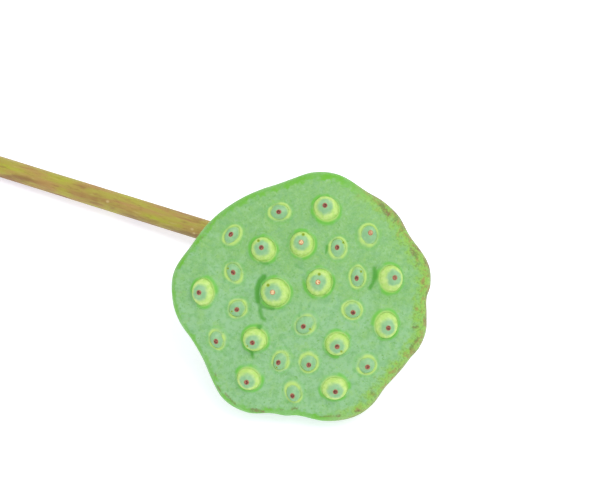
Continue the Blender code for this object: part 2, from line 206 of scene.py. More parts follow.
# Bruises on the rim and worn spots at a few mouths: points, half width and strength
BRUISES = [
    ([(21, 45), (24.4, 42)], 1.44, 0.9), ([(28.4, 42), (27.8, 40.4)], 0.96, 0.8),
    ([(31.4, 38.6), (32.4, 37.4)], 0.88, 0.7), ([(37.6, 31.4), (40.4, 28.6)], 1.04, 0.8),
    ([(42.2, 26.6), (41.8, 25.4)], 0.8, 0.7), ([(47.2, 0.2), (48.7, 1.2)], 0.72, 0.9),
    ([(50.8, 5.8), (51.2, 4.2)], 0.72, 0.7), ([(50.2, -3.6), (48.9, -8.4)], 0.8, 0.8),
    ([(48.8, 15.8), (49.2, 14.2)], 0.72, 0.7), ([(37.6, -28.6), (40.4, -31.4)], 0.96, 0.6),
    ([(39.8, -33.4), (40.2, -34.6)], 0.64, 0.6), ([(35.4, -38.6), (34.6, -39.4)], 0.8, 0.9),
    ([(27.4, -43.4), (28.6, -42.6)], 0.72, 0.9), ([(9.2, -45.2), (10.8, -44.8)], 0.64, 0.8),
    ([(5.6, -47), (4.4, -47)], 0.64, 0.6), ([(0.6, -48), (-0.6, -48)], 0.56, 0.6),
    ([(-42, -22.6), (-42, -21.4)], 0.56, 0.5), ([(-45, 17.4), (-44.6, 18.6)], 0.56, 0.5),
    ([(-25.6, -40.2), (-25.2, -41)], 0.6, 0.6), ([(-23.4, -45.4), (-21.6, -46.6)], 0.6, 0.8),
    ([(-19.4, -47.2), (-14, -50.2)], 0.55, 0.7), ([(-6.6, -50.6), (-1.8, -50.2)], 0.95, 0.9),
    ([(-46.4, 11.2), (-46, 12.2)], 0.6, 0.5), ([(-50.8, -12), (-47.8, -12.6)], 0.6, 0.35),
    ([(20.6, -45.6), (27, -43.4)], 0.55, 0.6), ([(-41.2, 21.4), (-40.8, 22.6)], 0.56, 0.5),
    ([(6.8, 19.8), (7.8, 19.4), (9, 19.8)], 0.36, 0.7),
    ([(19.9, 10.8), (20.8, 10.5), (21.8, 10.9)], 0.36, 0.8), ([(17.5, -1), (18.5, -3.6)], 0.36, 0.6),
]

# The stem's own marks: distance from the cut end, turn (180 faces the way the seed face does, 90 is its +Y
# side), reach along and spread around it in millimetres
STEM_LIMES = [(91.7, 118, 9, 1.9), (58.9, 143, 8, 2.4), (106.5, 200, 12, 1.8), (34, 165, 9, 1.6)]
STEM_BROWNS = [
    (75, 196, 13, 2.2), (114, 112, 11, 1.5), (122.5, 128, 4, 0.9), (68.5, 150, 4, 1.2),
    (45, 205, 8, 1.2), (20, 150, 9, 1.2),
]
STEM_WARTS = [(82.2, 187, 0.9), (123, 194, 0.9), (124.2, 213, 0.8)]

# Colours as they look on screen in the studio, 0 to 255
FACE_GREEN = (139, 196, 110)
FACE_BLUE_GREEN = (156, 207, 152)
FACE_PALE = (160, 210, 148)
FACE_DEEP = (122, 186, 106)
FACE_SHADE = (124, 184, 122)
FACE_YELLOW = (152, 206, 108)
FACE_FLECK = (118, 180, 84)
RIM_GREEN = (112, 194, 48)
RIM_YELLOW = (150, 206, 80)
RIM_BROWN = (166, 146, 84)
RIM_EDGE = (122, 98, 58)
BRUISE_OLIVE = (112, 146, 72)
BRUISE_BROWN = (134, 104, 66)
UNDER_GREEN = (136, 172, 82)
UNDER_PALE = (162, 192, 104)
UNDER_DEEP = (122, 172, 88)
SCAR_BROWN = (134, 108, 62)
HALO_GREEN = (112, 202, 66)
LIP_YELLOW = (196, 234, 124)
# Painted shade along the creases, also the colour of the dark flecks
CREASE_SHADE_AND_FLECK_GREEN = (82, 168, 54)
CAP_BLUE_GREEN = (143, 198, 142)
CAP_PALE = (158, 208, 152)
FLANK_YELLOW = (194, 233, 122)
FLANK_PALE = (214, 244, 146)
FLANK_DEEP = (152, 212, 92)
PORE_OLIVE = (152, 182, 22)
PORE_DARK = (104, 128, 12)
TIP_RED_BROWN = (108, 50, 38)
TIP_BROWN = (186, 112, 88)
TIP_CREAM = (255, 224, 170)
TIP_ORANGE = (214, 130, 84)
STEM_OLIVE = (184, 174, 70)
STEM_BROWN = (188, 150, 84)
STEM_LIME = (182, 192, 46)
STEM_RED_BROWN = (156, 108, 66)
STEM_PALE = (206, 194, 112)
STEM_WART = (222, 200, 138)
# Painted shade along the stem's lower, -Y side
STEM_LOW_SIDE_SHADE = (140, 100, 58)
CUT_CREAM = (224, 216, 152)
CUT_GREEN = (192, 202, 112)
FACE_MOTTLES = [  # colour, blotch size, detail, roughness, the noise where it starts and is full, strength
    (FACE_YELLOW, 3.6, 3.0, 0.55, 0.5, 0.68, 0.6), (FACE_PALE, 1.6, 5.0, 0.65, 0.48, 0.66, 0.7),
    (FACE_DEEP, 2.1, 5.0, 0.65, 0.44, 0.66, 0.75), (FACE_SHADE, 4.6, 5.0, 0.6, 0.5, 0.66, 0.5),
    (FACE_BLUE_GREEN, 0.7, 3.0, 0.55, 0.35, 0.65, 0.35),
]
COAT_ROUGHNESS = 0.35
SCATTER_RADIUS = (0.6, 1.0, 0.3)
SCATTER_SCALE = 0.0015

# Studio: picture directions are right, up and out towards the camera
STUDIO_BRIGHTNESS = 1.19
WORLD_COLOUR = (0.98, 0.99, 1.0)
WORLD_STRENGTH = 0.85
KEY_DIRECTION = (0.35, 0.5, 0.8)
KEY_POWER = 6.0
KEY_COLOUR = (1.0, 0.985, 0.96)
KEY_DISTANCE = 1.2
KEY_SIZE = 0.7
FLOOR_SIZE = 30.0
FLOOR_DROP = 0.0001
FLOOR_GLOW = 0.54
FLOOR_GLOW_COLOUR = (0.93, 0.935, 1.06)
FLOOR_WHITE = (0.77, 0.77, 0.785)
FLOOR_COOL = (0.755, 0.755, 0.78)
PICTURE_ROLL = 16.2
CAMERA_AIM = (-4.1, 19.7)
CAMERA_DISTANCE = 750.0
FRAME_WIDTH = 251.0


# ---- curves and noise

def smooth_step(value):
    value = np.clip(value, 0.0, 1.0)
    return value * value * (3.0 - 2.0 * value)


def bell(distance, width):
    return np.exp(-(distance / width) ** 2)


def turns(count):
    """Even steps round a circle, in radians."""
    return np.arange(count) * 2.0 * math.pi / count


def spokes(turn):
    """Directions in a plane at one turn or many."""
    return np.stack([np.cos(turn), np.sin(turn)], -1)


def curve_at(rows, place, period=None):
    """Smooth curve through rows of a place and a value. With a period it runs on into its own start."""
    places, values = np.array(rows, float).T
    ends = np.pad(values, 1, "edge")
    if period:
        place = (np.asarray(place, float) - places[0]) % period + places[0]
        places = np.append(places, places[0] + period)
        ends = np.pad(values, (1, 2), "wrap")
    index = np.clip(np.searchsorted(places, place, side="right") - 1, 0, len(places) - 2)
    share = (place - places[index]) / (places[index + 1] - places[index])
    before, low, high, after = (ends[index + step] for step in range(4))
    slope_low = (high - before) / 2.0
    slope_high = (after - low) / 2.0
    curve = 2.0 * (low - high) + slope_low + slope_high
    bend = 3.0 * (high - low) - 2.0 * slope_low - slope_high
    return ((curve * share + bend) * share + slope_low) * share + low


def outline_radius(bearing):
    """Widest radius of the lobed rim at bearings in degrees."""
    return curve_at(OUTLINE, bearing, 360.0)


def profile_radius(distance):
    """Radius of the bowl at a distance along its axis."""
    return float(curve_at(BOWL_PROFILE, distance))


def shoulder_width(bearing):
    swing = np.cos(np.radians(np.asarray(bearing) - SHOULDER_WIDE_BEARING))
    return SHOULDER_WIDTH + SHOULDER_SWING * swing


def face_edge(bearing):
    return outline_radius(bearing) - shoulder_width(bearing)


def dome_height(x, y):
    share = np.minimum(1.0, np.hypot(x, y) / face_edge(np.degrees(np.arctan2(y, x))))
    return DOME_HEIGHT * (1.0 - share * share)


def neck_angle(distance):
    share = (distance - NECK_BEND_FROM) / (BOWL_LENGTH - NECK_BEND_FROM)
    return math.radians(NECK_BEND) * float(smooth_step(share))


def bowl_axis(distance):
    """Point on the bowl's curved axis, found by walking down it."""
    steps = max(1, round(distance / AXIS_WALK))
    step = distance / steps
    point = np.array([0.0, 0.0, -SHOULDER_DEPTH])
    for k in range(steps):
        middle = (k + 0.5) * step
        angle = neck_angle(middle)
        drift = np.array([*AXIS_DRIFT, 0.0]) * float(smooth_step(middle / DRIFT_FULL_AT))
        point += (np.array([-math.sin(angle), 0.0, -math.cos(angle)]) + drift) * step
    return point


def flat(x, y):
    return np.column_stack([x, y, np.zeros(len(x))])


def clouds(points, size, seed, octaves=3):
    """Soft noise from about -1 to 1 at each point, with blotches of about size millimetres."""
    offset = Vector((seed * 17.3, seed * -9.1, seed * 5.7))
    return np.array([noise.fractal(Vector(p) / size + offset, 1.0, 2.0, octaves) for p in points])


# ---- the pod's frame and its seeds

def bearings(count):
    return np.arange(count) * 360.0 / count


def bowl_ring(distance, bearing, swell=0.0):
    """A ring of the underside, swollen outward by millimetres."""
    lobe = outline_radius(bearing) / MEAN_RADIUS - 1.0
    radius = profile_radius(distance) * (1.0 + lobe * (1.0 - distance / BOWL_LENGTH)) + swell
    angle = neck_angle(distance)
    turn = np.radians(bearing)
    side = np.array([math.cos(angle), 0.0, -math.sin(angle)])
    across = np.outer(radius * np.sin(turn), (0, 1, 0))
    return bowl_axis(distance) + np.outer(radius * np.cos(turn), side) + across


def rim_ring(share, bearing):
    """A ring of the rolled rim: share 0 is the face's edge, share 1 the widest place."""
    turn = share * math.pi / 2.0
    radius = face_edge(bearing) + shoulder_width(bearing) * math.sin(turn)
    height = np.full(len(bearing), -SHOULDER_DEPTH * (1.0 - math.cos(turn)))
    return np.column_stack([radius[:, None] * spokes(np.radians(bearing)), height])


def node_points(name):
    return np.array([v.co for v in frame["nodes"][name].data.vertices]) / MM


def stem_run():
    """Direction of the stem's straight stretch in the pod's frame."""
    fall = math.radians(STEM_FALL)
    swing = math.radians(STEM_SWING)
    return Vector((-math.cos(fall) * math.cos(swing), math.cos(fall) * math.sin(swing), -math.sin(fall)))


def pod_turn():
    """How the pod lies, with the stem straight along -X."""
    turn = Matrix.Rotation(math.radians(LEAN_AWAY), 3, "Y") @ Matrix.Rotation(math.radians(LEAN_SIDE), 3, "X")
    run = turn @ stem_run()
    return Matrix.Rotation(math.pi - math.atan2(run.y, run.x), 3, "Z") @ turn


def pod_place(turn):
    """Where the pod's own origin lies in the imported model, from the box of the receptacle there."""
    found = node_points("receptacle") @ turn
    cad_bearing = bearings(CAD_RIM_SEGMENTS)
    drawn = np.vstack([rim_ring(1.0, cad_bearing), bowl_ring(BOWL_LENGTH, cad_bearing)])
    offset = np.append(found.max(0)[:2] - drawn.max(0)[:2], found.min(0)[2] - drawn.min(0)[2])
    return turn @ offset


TURN = np.array(pod_turn())
PLACE = pod_place(TURN)


def to_world(points):
    """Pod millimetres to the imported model's metres, never below the surface that the pod lies on."""
    world = (np.asarray(points) @ TURN.T + PLACE) * MM
    world[:, 2] = np.maximum(world[:, 2], 0.0)
    return world


class Seed:
    """One seed's place and size, read from its CAD node."""

    def __init__(self, number):
        self.number = number
        self.node = f"seed_{number:02d}"
        points = np.unique(((node_points(self.node) - PLACE) @ TURN).round(3), axis=0)
        levels = np.unique(points[:, 2].round(2))
        rings = [points[np.abs(points[:, 2] - level) < CAD_LEVEL_SLACK] for level in levels]
        tip = rings[-1][0]
        mouth = rings[CAD_MOUTH_RING]
        self.level = float(mouth[:, 2].mean())
        self.centre = mouth[:, :2].mean(0)
        spread = np.linalg.eigh(np.cov((mouth[:, :2] - self.centre).T, bias=True))
        self.half_width, self.half_length = np.sqrt(2.0 * spread[0])
        self.mean = (self.half_length + self.half_width) / 2.0
        self.axis = spread[1][:, 1]
        self.rise = float(tip[2] - self.level)
        self.splay = (tip[:2] - self.centre) / self.rise
        self.lean = (np.array(TIPS[number - 1]) - self.centre) / self.rise
        self.proud = self.rise > PROUD_RISE
        self.root = PROUD_ROOT if self.proud else LOW_ROOT

    def width_share(self, height):
        """Share of the mouth's size that the dome has at heights above the mouth."""
        climb = np.clip(np.asarray(height) / self.rise, 0.0, 0.9)
        return (1.0 - climb ** (1.0 / self.root)) ** (1.0 / DOME_POWER)

    def dome(self, share):
        """Height of the dome above the mouth at a share of the mouth's size."""
        return self.rise * (1.0 - share ** DOME_POWER) ** self.root

    def shift(self, height):
        """Sideways travel of the seed's axis at heights above its mouth, or below it."""
        height = np.atleast_1d(height)
        return np.outer(np.maximum(height, 0.0), self.lean) + np.outer(np.minimum(height, 0.0), self.splay)

    def ring(self, height, share, grow=0.0):
        """A ring at a height above the mouth: a share of the mouth's size, grown by millimetres."""
        turn = turns(OPENING_SEGMENTS)
        across = np.array([-self.axis[1], self.axis[0]])
        oval = float(smooth_step(share / 0.5))
        along = ((self.mean + (self.half_length - self.mean) * oval) * share + grow) * np.cos(turn)
        aside = ((self.mean + (self.half_width - self.mean) * oval) * share + grow) * np.sin(turn)
        plan = self.centre + self.shift(height) + np.outer(along, self.axis) + np.outer(aside, across)
        return np.column_stack([plan, np.full(len(turn), self.level + height)])

    def foot(self, depth):
        """A point on the seed's axis below its mouth."""
        return [*(self.centre + self.splay * depth), self.level + depth]

    def trailing(self, x, y):
        """1 on the side that the seed leans away from, 0 on the side it leans to."""
        aside = np.column_stack([x, y]) - self.centre
        reach = np.linalg.norm(aside, axis=1) * np.linalg.norm(self.lean)
        return 0.5 - 0.5 * (aside @ self.lean) / np.maximum(reach, 1e-6)

    def edge_distance(self, x, y):
        """Distance outside the mouth's edge in millimetres, negative inside."""
        dx = x - self.centre[0]
        dy = y - self.centre[1]
        along = (dx * self.axis[0] + dy * self.axis[1]) / self.half_length
        aside = (dy * self.axis[0] - dx * self.axis[1]) / self.half_width
        share = np.hypot(along, aside)
        return (share - 1.0) * np.hypot(dx, dy) / np.maximum(share, 1e-6)


SEEDS = [Seed(number) for number in range(1, 27)]


# ---- mesh building

def add_object(name, data):
    made = bpy.data.objects.new(name, data)
    bpy.context.collection.objects.link(made)
    return made


class Skin:
    """Collects the points, faces and painted masks of one closed mesh, in pod millimetres.

    Each point also has a turn and a run, its place on a tube of the given radius. Their flow attribute,
    with the run shrunk, lets a noise be drawn out along the grain.
    """

    def __init__(self, radius, shrink, **masks):
        self.radius = radius
        self.shrink = shrink
        self.points = []
        self.faces = []
        self.count = 0
        self.defaults = {"turn": 0.0, "run": 0.0, **masks}
        self.masks = {name: [] for name in self.defaults}

    def add(self, points, **masks):
        points = np.asarray(points, float).reshape(-1, 3)
        self.points.append(points)
        for name, default in self.defaults.items():
            value = np.broadcast_to(masks.get(name, default), len(points))
            self.masks[name].append(np.asarray(value, float))
        start = self.count
        self.count += len(points)
        return np.arange(start, self.count)

    def band(self, upper, lower, inward=False):
        quads = np.stack([upper, lower, np.roll(lower, -1), np.roll(upper, -1)], 1)
        self.faces.extend((quads[:, ::-1] if inward else quads).tolist())

    def grow(self, upper, points, inward=False, **masks):
        """Add a ring, joined to the one above it where there is one."""
        lower = self.add(points, **masks)
        if upper is not None:
            self.band(upper, lower, inward)
        return lower

    def close(self, ring, pole, above=False, inward=False, **masks):
        """Add a point that a ring runs together in."""
        fan = np.stack([ring, np.roll(ring, -1), np.full(len(ring), self.add(pole, **masks)[0])], 1)
        self.faces.extend((fan[:, ::-1] if above == inward else fan).tolist())

    def make(self, node, material):
        name = f"{node}_skin"
        points = np.vstack(self.points)
        mesh = bpy.data.meshes.new(name)
        mesh.from_pydata(to_world(points).tolist(), [], self.faces)
        mesh.shade_smooth()
        masks = {mask: np.concatenate(values) for mask, values in self.masks.items()}
        turn = masks.pop("turn")
        flow = [self.radius * np.cos(turn), self.radius * np.sin(turn), self.shrink * masks["run"]]
        for layer, values in {"pod": points, "flow": np.column_stack(flow), **masks}.items():
            kind, field = ("FLOAT_VECTOR", "vector") if values.ndim == 2 else ("FLOAT", "value")
            store = mesh.attributes.new(layer, kind, "POINT")
            store.data.foreach_set(field, values.astype(np.float32).ravel())
        mesh.materials.append(material)
        piece = add_object(name, mesh)
        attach(piece, "root")
        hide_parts(node)


def inside_loop(x, y, loop):
    """Which plan points lie inside a closed plan loop."""
    inside = np.zeros(len(x), bool)
    for a, b in zip(loop, np.roll(loop, 1, axis=0)):
        crosses = (a[1] > y) != (b[1] > y)
        rise = b[1] - a[1] if b[1] != a[1] else 1.0
        inside ^= crosses & (x < (b[0] - a[0]) * (y - a[1]) / rise + a[0])
    return inside


def stitch(skin, plan, loops, outer, holes):
    """Triangulate plan points between an outer loop and the holes' loops. plan maps skin index to x, y."""
    known = np.array(sorted(plan))
    order = {index: k for k, index in enumerate(known)}
    spots = np.array([plan[index] for index in known])
    edges = [(order[loop[k - 1]], order[loop[k]]) for loop in loops for k in range(len(loop))]
    _, _, triangles, origins, _, _ = delaunay_2d_cdt([Vector(p) for p in spots], edges, [], 0, 1e-5)
    corners = np.array([[origins[k][0] for k in triangle] for triangle in triangles])
    middle = spots[corners].mean(1)
    keep = inside_loop(*middle.T, np.array([plan[k] for k in outer]))
    for hole in holes:
        loop = np.array([plan[k] for k in hole])
        near = np.hypot(*(middle - loop.mean(0)).T) < np.ptp(loop, axis=0).max()
        inside = np.zeros(len(middle), bool)
        inside[near] = inside_loop(*middle[near].T, loop)
        keep &= ~inside
    skin.faces.extend(known[corners[keep]].tolist())


# ---- receptacle

def path_distance(x, y, path):
    """Plan distance from points to a path of straight runs."""
    best = np.full(len(x), 1e9)
    for (ax, ay), (bx, by) in zip(path, path[1:]):
        share = ((x - ax) * (bx - ax) + (y - ay) * (by - ay)) / ((bx - ax) ** 2 + (by - ay) ** 2)
        share = np.clip(share, 0.0, 1.0)
        best = np.minimum(best, np.hypot(x - ax - share * (bx - ax), y - ay - share * (by - ay)))
    return best


def patchiness(x, y):
    """How strongly the rings round the seeds show at a place, from 0 to 1."""
    return smooth_step(0.55 + 1.1 * clouds(flat(x, y), 4.5, 4, 2))


def bruising(x, y):
    """How bruised the skin is at a place, from 0 to 1."""
    fine = clouds(flat(x, y), 1.8, 5, 2)
    worst = np.zeros(len(x))
    for path, width, strength in BRUISES:
        worst = np.maximum(worst, strength * bell(path_distance(x, y, path) * (1.0 + 0.6 * fine), width))
    return worst


def face_relief(x, y):
    """What the face adds to its plain dome, and its masks: lips, halos, and painted shade along the folds
    with dark flecks.
    """
    broad = clouds(flat(x, y), 15.0, 1)
    fine = clouds(flat(x, y), 3.2, 2)
    patchy = patchiness(x, y)
    height = 0.28 * broad + 0.09 * fine
    lip = np.zeros(len(x))
    halo = np.zeros(len(x))
    fold = np.zeros(len(x))
    for seed in SEEDS:
        gap = np.maximum(seed.edge_distance(x, y), 0.0)
        if seed.proud:
            height += 0.62 * bell(gap, 1.0) + 0.2 * bell(gap, 3.0)
            halo = np.maximum(halo, (0.45 + 0.55 * patchy) * bell(gap - 0.55, 1.0))
            lip = np.maximum(lip, (0.3 + 0.5 * seed.trailing(x, y)) * bell(gap, 0.7))
        else:
            height += 0.3 * (0.7 + 0.6 * patchy) * bell(gap - 0.35, 0.8)
            lip = np.maximum(lip, (0.5 + 0.5 * patchy) * bell(gap - 0.3, 0.9))
            halo = np.maximum(halo, 0.45 * bell(gap - 1.5, 0.9))
    # Each crease sinks into the dome and is darkened with painted shade; the flecks are dark spots in the
    # same mask
    for path, width, depth, dark in CREASES:
        trace = bell(path_distance(x, y, path) * (1.0 + 0.45 * fine), width)
        height -= depth * trace
        fold = np.maximum(fold, dark * trace)
    for fx, fy, size, dark in FLECKS:
        fold = np.maximum(fold, dark * bell(np.hypot(x - fx, y - fy) * (1.0 + 0.5 * fine), size))
    return height, lip, halo, fold


def open_points(rings, spacing):
    """Evenly spread points on the open parts of the face, clear of every ring."""
    tree = kdtree.KDTree(sum(len(ring) for ring in rings))
    for k, (x, y) in enumerate(np.vstack(rings)):
        tree.insert((x, y, 0.0), k)
    tree.balance()
    row = spacing * math.sqrt(3.0) / 2.0
    rows = int(2.0 * MEAN_RADIUS / row) + 4
    column, line = np.meshgrid(np.arange(-rows, rows), np.arange(rows) - rows // 2)
    y = (line * row).ravel()
    x = ((column + 0.5 * (line % 2)) * spacing).ravel()
    keep = np.hypot(x, y) < face_edge(np.degrees(np.arctan2(y, x))) - 0.5 * spacing
    for seed in SEEDS:
        keep &= seed.edge_distance(x, y) > 0.5
    spots = np.column_stack([x[keep], y[keep]])
    clear = [tree.find((x, y, 0.0))[2] > 0.6 * spacing for x, y in spots]
    return spots[clear]


def add_face(skin, rim):
    """The seed face, from the rim to every opening. Gives the openings' inner edges."""
    rim_plan = rim_ring(0.0, bearings(RIM_SEGMENTS))[:, :2]
    around = [(seed, grow) for seed in SEEDS for grow in OPENING_EDGES]
    rings = [seed.ring(0.0, 1.0, grow)[:, :2] for seed, grow in around]
    spots = np.vstack(rings + [open_points([rim_plan] + rings, FACE_SPACING)])
    x, y = spots.T
    inward = face_edge(np.degrees(np.arctan2(y, x))) - np.hypot(x, y)
    relief, lip, halo, fold = face_relief(x, y)
    height = dome_height(x, y) + relief * smooth_step(inward / 5.0)
    places = np.column_stack([x, y, height])
    for k, (seed, grow) in enumerate(around):
        ring = slice(k * OPENING_SEGMENTS, (k + 1) * OPENING_SEGMENTS)
        follow = 1.0 - smooth_step(grow / OPENING_EDGES[0])
        above = height[ring] - seed.level
        inside = (seed.width_share(above) - 1.0)[:, None] * (spots[ring] - seed.centre)
        places[ring, :2] += (seed.shift(above) + inside) * follow
    added = skin.add(
        places, turn=np.arctan2(y, x), run=inward, sunny=sunniness(np.arctan2(y, x)),
        lip=lip, halo=halo, fold=fold, bruise=bruising(x, y))
    plan = {**dict(zip(rim, rim_plan)), **dict(zip(added, spots))}
    loops = [added[k * OPENING_SEGMENTS:(k + 1) * OPENING_SEGMENTS] for k in range(len(rings))]
    holes = loops[len(OPENING_EDGES) - 1::len(OPENING_EDGES)]
    stitch(skin, plan, [rim] + loops, rim, holes)
    return holes


def add_pocket(skin, mouth, seed):
    """The blind pocket under one opening."""
    for height, share in POCKET_RINGS:
        mouth = skin.grow(mouth, seed.ring(height, share, CAD_GAP), inward=True, run=POCKET_RUN, halo=1.0)
    skin.close(mouth, seed.foot(POCKET_FOOT), inward=True, run=POCKET_RUN, halo=1.0)


def underside_swell(distance, bearing, broad):
    """Faint ribs down the bowl, the ring of stamen scars above the neck, and how scarred each point is."""
    turn = np.radians(bearing)
    ribs = np.cos(RIB_COUNT * turn + 2.2 * broad) * smooth_step((distance - 3.0) / 9.0)
    ribs *= 1.0 - float(smooth_step((distance - 28.0) / 5.0))
    swell = RIB_HEIGHT * ribs + 0.45 * broad * (1.0 - float(smooth_step((distance - 26.0) / 10.0)))
    scar = 0.25 * bell(distance - SCARS_FROM - 2.2, 3.0) * np.ones(len(bearing))
    for row in range(SCAR_ROWS):
        level = SCARS_FROM + SCAR_ROW_STEP * row
        spots = np.maximum(0.0, np.cos(SCAR_COUNT * turn + row * math.pi / 2.0)) ** 3
        swell += SCAR_HEIGHT * spots * bell(distance - level, 0.62)
        scar = np.maximum(scar, spots * bell(distance - level, 0.6))
    return swell, scar


def sunniness(turn):
    """How far towards the sunned side of the pod a direction lies, from 0 to 1."""
    return 0.5 + 0.5 * np.cos(turn - math.radians(SUNNY_BEARING))


def make_receptacle(material):
    skin = Skin(MEAN_RADIUS, RADIAL_SHRINK, lip=0.0, halo=0.0, fold=0.0, bruise=0.0, sunny=0.0, scar=0.0)
    around = bearings(RIM_SEGMENTS)
    turn = np.radians(around)
    sunny = sunniness(turn)
    edge = rim_ring(0.0, around)
    rim = skin.add(edge, turn=turn, sunny=sunny, bruise=bruising(*edge.T[:2]))
    mouths = add_face(skin, rim)
    for mouth, seed in zip(mouths, SEEDS):
        add_pocket(skin, mouth, seed)
    upper = rim
    for step in range(1, SHOULDER_RINGS + 1):
        share = step / SHOULDER_RINGS
        points = rim_ring(share, around)
        bruise = bruising(*points.T[:2])
        upper = skin.grow(upper, points, turn=turn, run=-share * SHOULDER_RUN, sunny=sunny, bruise=bruise)
    for step in range(1, BOWL_RINGS + 1):
        distance = BOWL_LENGTH * step / BOWL_RINGS
        base = bowl_ring(distance, around)
        broad = clouds(base, 17.0, 3)
        swell, scar = underside_swell(distance, around, broad)
        swell *= float(smooth_step(distance / 6.0))
        narrow = float(smooth_step((distance - COLLAR_FROM) / (BOWL_LENGTH - COLLAR_FROM)))
        swell -= narrow * (profile_radius(distance) - COLLAR_RADIUS)
        bruise = bruise * BRUISE_FADE
        upper = skin.grow(
            upper, bowl_ring(distance, around, swell), turn=turn, run=-SHOULDER_RUN - distance, sunny=sunny,
            scar=scar, bruise=bruise)
    skin.close(upper, bowl_axis(BOWL_LENGTH), run=-SHOULDER_RUN - BOWL_LENGTH)
    skin.make("receptacle", material)


# ---- seeds

def make_seed(seed, material):
    """A domed, waxy seed with a knob at its tip and often a small pore beside it."""
    skin = Skin(
        SEED_FLOW_RADIUS, SEED_FLOW_SHRINK, tip=0.0, pore=0.0, pale=0.0, patchy=1.0, proud=float(seed.proud))
    turn = turns(OPENING_SEGMENTS)
    tip = seed.centre + seed.lean * seed.rise
    pale = TIP_PALENESS.get(seed.number, 0.0)
    bearing, reach, size = PORES.get(seed.number, (0.0, 0.0, 0.0))
    pore_at = tip + reach * spokes(math.radians(bearing))
    dome_turns = np.linspace(math.asin(DOME_FROM / seed.mean), math.pi / 2.0, DOME_RINGS)
    upper = None
    for share in np.concatenate([KNOB_RINGS / seed.mean, np.sin(dome_turns)]):
        ring = seed.ring(seed.dome(share), share)
        radius = share * seed.mean
        knob = float(smooth_step((KNOB_RADIUS - radius) / 0.3))
        ring[:, 2] += KNOB_HEIGHT * knob - KNOB_PIT * bell(radius, 0.26) + 0.06 * bell(radius - 1.3, 0.25)
        ring[:, 2] += 0.1 * clouds(ring, 3.0, 20 + seed.number)
        pore = np.zeros(len(ring))
        if size:
            away = np.hypot(*(ring[:, :2] - pore_at).T)
            pore = bell(away, size)
            ring[:, 2] += 0.1 * bell(away - size, 0.25) - 0.28 * pore
        tip_mask = float(smooth_step((KNOB_RADIUS + 0.35 - radius) / 0.8))
        first = upper is None
        upper = skin.grow(
            upper, ring, turn=turn, run=share, tip=tip_mask, pore=pore, pale=pale,
            patchy=patchiness(*ring.T[:2]))
        if first:
            pole = [*tip, seed.level + seed.rise + KNOB_HEIGHT - KNOB_PIT]
            skin.close(upper, pole, above=True, tip=1.0, pale=pale)
    for height, share in SEED_BODY_RINGS:
        upper = skin.grow(upper, seed.ring(height, share), turn=turn, run=1.0 - height / SEED_BODY_RUN)
    skin.close(upper, seed.foot(SEED_FOOT), run=1.0 - SEED_FOOT / SEED_BODY_RUN)
    skin.make(seed.node, material)


# ---- stem

def stem_route():
    """Centre line of the stem, starting a little inside the neck, and its headings."""
    angle = neck_angle(BOWL_LENGTH)
    heading = Vector((-math.sin(angle), 0.0, -math.cos(angle)))
    start = Vector(bowl_axis(BOWL_LENGTH)) + heading * CAD_GAP
    bend_end = Vector((STEM_STRAIGHT_X, STEM_LINE_Y, start.z - STEM_DROP))
    run = stem_run()
    pull = (bend_end - start).length * STEM_BEND_PULL
    bend = interpolate_bezier(start, start + heading * pull, bend_end - run * pull, bend_end, BEND_STATIONS)
    length = (STEM_STRAIGHT_X - CUT_END_X) / -run.x
    stations = int(length / STEM_RING_SPACING)
    route = [start - heading * STEM_INSIDE] + bend
    route += [bend_end + run * length * k / stations for k in range(1, stations + 1)]
    spans = zip(route[:1] + route, route[1:] + route[-1:])
    return np.array(route), np.array([(after - before).normalized() for before, after in spans])


def stem_frame(along):
    """Upward and sideways directions square to the stem."""
    side = np.cross((0.0, 1.0, 0.0), along)
    side /= np.linalg.norm(side)
    return -side, np.cross(along, side)


def stem_warts(length):
    """The small pale warts: distance from the cut end, turn and size. Those behind are a seeded draw."""
    draw = np.random.default_rng(11)
    ranges = ((3.0, length - 12.0), (-80.0, 80.0), (0.6, 1.0))
    hidden = np.column_stack([draw.uniform(low, high, HIDDEN_WARTS) for low, high in ranges])
    return np.vstack([STEM_WARTS, hidden])


def stem_marks(marks, from_end, turn):
    """How strongly a ring of the stem shows a list of marks, from 0 to 1."""
    strength = np.zeros(len(turn))
    for place, facing, reach, spread in marks:
        sweep = (turn - math.radians(facing) + math.pi) % (2.0 * math.pi) - math.pi
        away = np.hypot((from_end - place) / reach, sweep * STEM_RADIUS / spread)
        strength = np.maximum(strength, bell(away, 1.0))
    return strength


